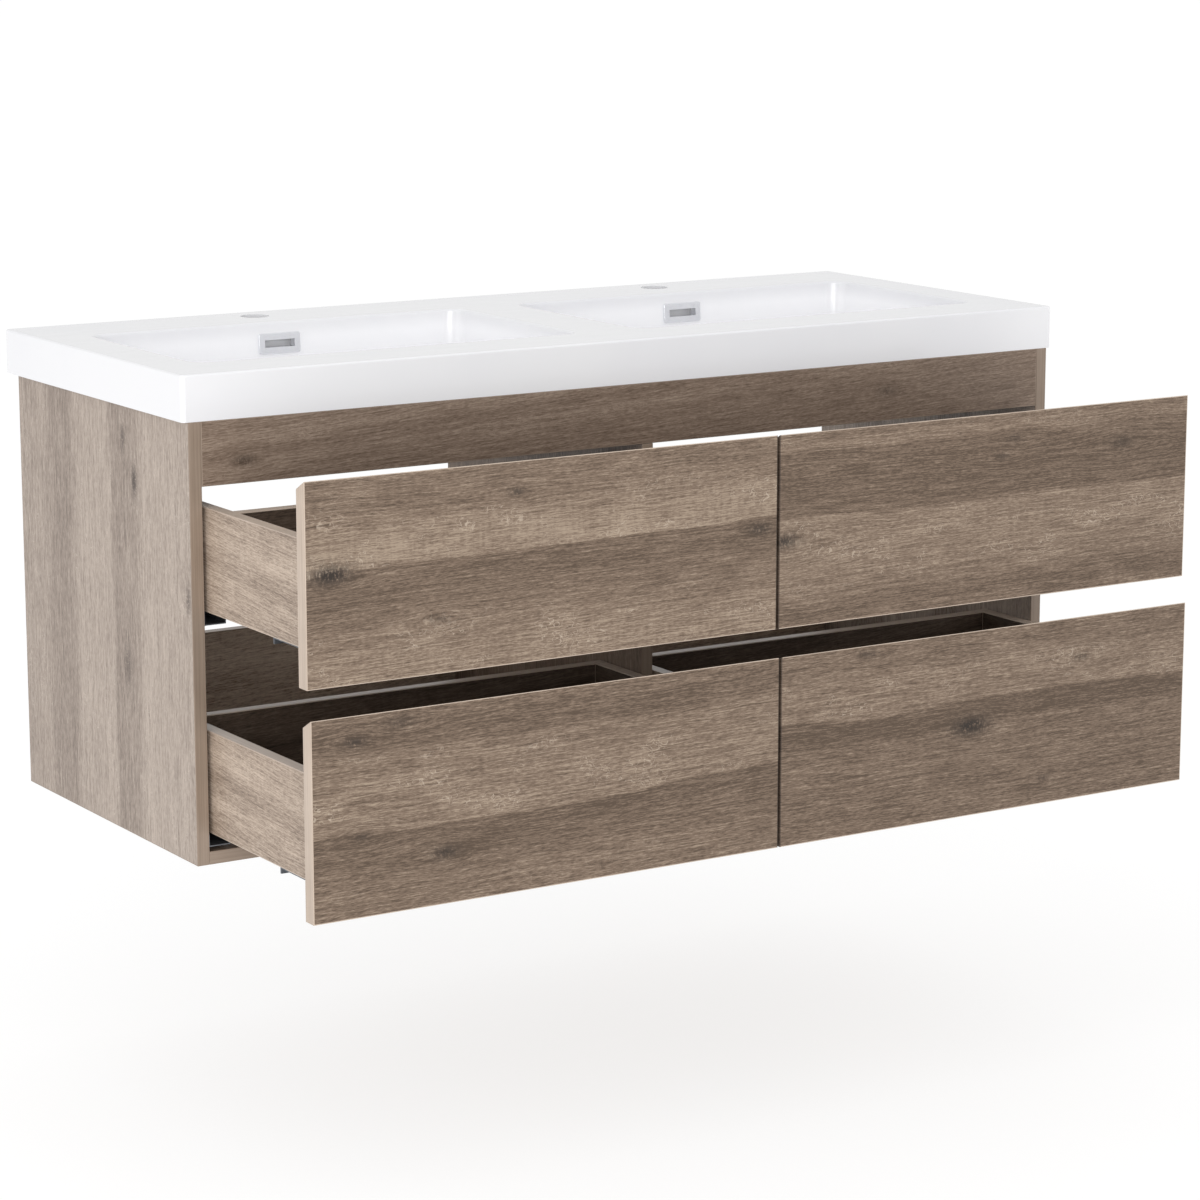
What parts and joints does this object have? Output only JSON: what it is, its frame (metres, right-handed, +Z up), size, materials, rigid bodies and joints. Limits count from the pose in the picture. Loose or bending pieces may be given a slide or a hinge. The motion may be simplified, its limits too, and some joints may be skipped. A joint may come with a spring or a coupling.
{
  "type": "bathroom vanity cabinet",
  "caption": "Wall-hung oak-look vanity cabinet with a white cast double-basin top and handleless pull-out drawers on undermount runners.",
  "frame": {"origin": "on the wall plane, at the centre of the four wall bolts", "axes": "+X to the right seen from the room, +Y into the wall, +Z up; the drawers pull out along -Y"},
  "size_m": [1.2, 0.7555, 0.55],
  "materials": {
    "cast_top": "gloss white gelcoat",
    "chrome_trim": "polished",
    "oak_board": "grey-brown oak laminate, satin",
    "drawer_board": "pale oak laminate, satin",
    "drawer_floor": "oak laminate, matt",
    "runner_steel": "zinc plated",
    "zinc_steel": "zinc plated",
    "screw_steel": "passivated",
    "carriage_plastic": "moulded",
    "clip_plastic": "moulded grey",
    "lever_plastic": "moulded light grey"
  },
  "bodies": {
    "cabinet": {"countertop": "cast_top", "overflow_covers": "chrome_trim", "side_panel_left": "oak_board", "side_panel_right": "oak_board", "centre_partition": "oak_board", "front_rail": "oak_board", "rear_rail": "oak_board", "bottom_panel": "oak_board", "back_panel": "oak_board", "wall_brackets": "zinc_steel", "hanging_brackets": "zinc_steel", "carcass_screws": "screw_steel", "fixed_runners_upper_left": "runner_steel", "fixed_runners_lower_left": "runner_steel", "fixed_runners_upper_right": "runner_steel", "fixed_runners_lower_right": "runner_steel"},
    "drawer_upper_left": {"front_upper_left": "oak_board", "drawer_side_left_upper_left": "drawer_board", "drawer_side_right_upper_left": "drawer_board", "drawer_back_upper_left": "drawer_board", "drawer_bottom_upper_left": "drawer_floor", "front_connectors_upper_left": "screw_steel", "sliding_runners_upper_left": "runner_steel", "locking_clips_upper_left": "clip_plastic"},
    "carriage_upper_left": {"roller_carriages_upper_left": "carriage_plastic"},
    "lever_left_upper_left": {"release_lever_left_upper_left": "lever_plastic"},
    "lever_right_upper_left": {"release_lever_right_upper_left": "lever_plastic"},
    "drawer_lower_left": {"front_lower_left": "oak_board", "drawer_side_left_lower_left": "drawer_board", "drawer_side_right_lower_left": "drawer_board", "drawer_back_lower_left": "drawer_board", "drawer_bottom_lower_left": "drawer_floor", "front_connectors_lower_left": "screw_steel", "sliding_runners_lower_left": "runner_steel", "locking_clips_lower_left": "clip_plastic"},
    "carriage_lower_left": {"roller_carriages_lower_left": "carriage_plastic"},
    "lever_left_lower_left": {"release_lever_left_lower_left": "lever_plastic"},
    "lever_right_lower_left": {"release_lever_right_lower_left": "lever_plastic"},
    "drawer_upper_right": {"front_upper_right": "oak_board", "drawer_side_left_upper_right": "drawer_board", "drawer_side_right_upper_right": "drawer_board", "drawer_back_upper_right": "drawer_board", "drawer_bottom_upper_right": "drawer_floor", "front_connectors_upper_right": "screw_steel", "sliding_runners_upper_right": "runner_steel", "locking_clips_upper_right": "clip_plastic"},
    "carriage_upper_right": {"roller_carriages_upper_right": "carriage_plastic"},
    "lever_left_upper_right": {"release_lever_left_upper_right": "lever_plastic"},
    "lever_right_upper_right": {"release_lever_right_upper_right": "lever_plastic"},
    "drawer_lower_right": {"front_lower_right": "oak_board", "drawer_side_left_lower_right": "drawer_board", "drawer_side_right_lower_right": "drawer_board", "drawer_back_lower_right": "drawer_board", "drawer_bottom_lower_right": "drawer_floor", "front_connectors_lower_right": "screw_steel", "sliding_runners_lower_right": "runner_steel", "locking_clips_lower_right": "clip_plastic"},
    "carriage_lower_right": {"roller_carriages_lower_right": "carriage_plastic"},
    "lever_left_lower_right": {"release_lever_left_lower_right": "lever_plastic"},
    "lever_right_lower_right": {"release_lever_right_lower_right": "lever_plastic"}
  },
  "joints": [
    {"name": "slide_upper_left", "type": "slide", "parent": "cabinet", "child": "drawer_upper_left", "axis": [0, -1, 0], "range_m": [-0.249, 0.011]},
    {"name": "carriage_slide_upper_left", "type": "slide", "parent": "cabinet", "child": "carriage_upper_left", "axis": [0, -1, 0], "range_m": [-0.1245, 0.0055]},
    {"name": "press_left_upper_left", "type": "slide", "parent": "drawer_upper_left", "child": "lever_left_upper_left", "axis": [1, 0, 0], "range_m": [0, 0.005], "stiffness_N_per_m": 250, "springref_m": -0.003},
    {"name": "press_right_upper_left", "type": "slide", "parent": "drawer_upper_left", "child": "lever_right_upper_left", "axis": [-1, 0, 0], "range_m": [0, 0.005], "stiffness_N_per_m": 250, "springref_m": -0.003},
    {"name": "slide_lower_left", "type": "slide", "parent": "cabinet", "child": "drawer_lower_left", "axis": [0, -1, 0], "range_m": [-0.256, 0.004]},
    {"name": "carriage_slide_lower_left", "type": "slide", "parent": "cabinet", "child": "carriage_lower_left", "axis": [0, -1, 0], "range_m": [-0.128, 0.002]},
    {"name": "press_left_lower_left", "type": "slide", "parent": "drawer_lower_left", "child": "lever_left_lower_left", "axis": [1, 0, 0], "range_m": [0, 0.005], "stiffness_N_per_m": 250, "springref_m": -0.003},
    {"name": "press_right_lower_left", "type": "slide", "parent": "drawer_lower_left", "child": "lever_right_lower_left", "axis": [-1, 0, 0], "range_m": [0, 0.005], "stiffness_N_per_m": 250, "springref_m": -0.003},
    {"name": "slide_upper_right", "type": "slide", "parent": "cabinet", "child": "drawer_upper_right", "axis": [0, -1, 0], "range_m": [-0.249, 0.011]},
    {"name": "carriage_slide_upper_right", "type": "slide", "parent": "cabinet", "child": "carriage_upper_right", "axis": [0, -1, 0], "range_m": [-0.1245, 0.0055]},
    {"name": "press_left_upper_right", "type": "slide", "parent": "drawer_upper_right", "child": "lever_left_upper_right", "axis": [1, 0, 0], "range_m": [0, 0.005], "stiffness_N_per_m": 250, "springref_m": -0.003},
    {"name": "press_right_upper_right", "type": "slide", "parent": "drawer_upper_right", "child": "lever_right_upper_right", "axis": [-1, 0, 0], "range_m": [0, 0.005], "stiffness_N_per_m": 250, "springref_m": -0.003},
    {"name": "slide_lower_right", "type": "slide", "parent": "cabinet", "child": "drawer_lower_right", "axis": [0, -1, 0], "range_m": [-0.256, 0.004]},
    {"name": "carriage_slide_lower_right", "type": "slide", "parent": "cabinet", "child": "carriage_lower_right", "axis": [0, -1, 0], "range_m": [-0.128, 0.002]},
    {"name": "press_left_lower_right", "type": "slide", "parent": "drawer_lower_right", "child": "lever_left_lower_right", "axis": [1, 0, 0], "range_m": [0, 0.005], "stiffness_N_per_m": 250, "springref_m": -0.003},
    {"name": "press_right_lower_right", "type": "slide", "parent": "drawer_lower_right", "child": "lever_right_lower_right", "axis": [-1, 0, 0], "range_m": [0, 0.005], "stiffness_N_per_m": 250, "springref_m": -0.003}
  ],
  "couplings": [
    {"joint": "carriage_slide_upper_left", "follows": "slide_upper_left", "ratio": 0.5},
    {"joint": "carriage_slide_lower_left", "follows": "slide_lower_left", "ratio": 0.5},
    {"joint": "carriage_slide_upper_right", "follows": "slide_upper_right", "ratio": 0.5},
    {"joint": "carriage_slide_lower_right", "follows": "slide_lower_right", "ratio": 0.5}
  ]
}
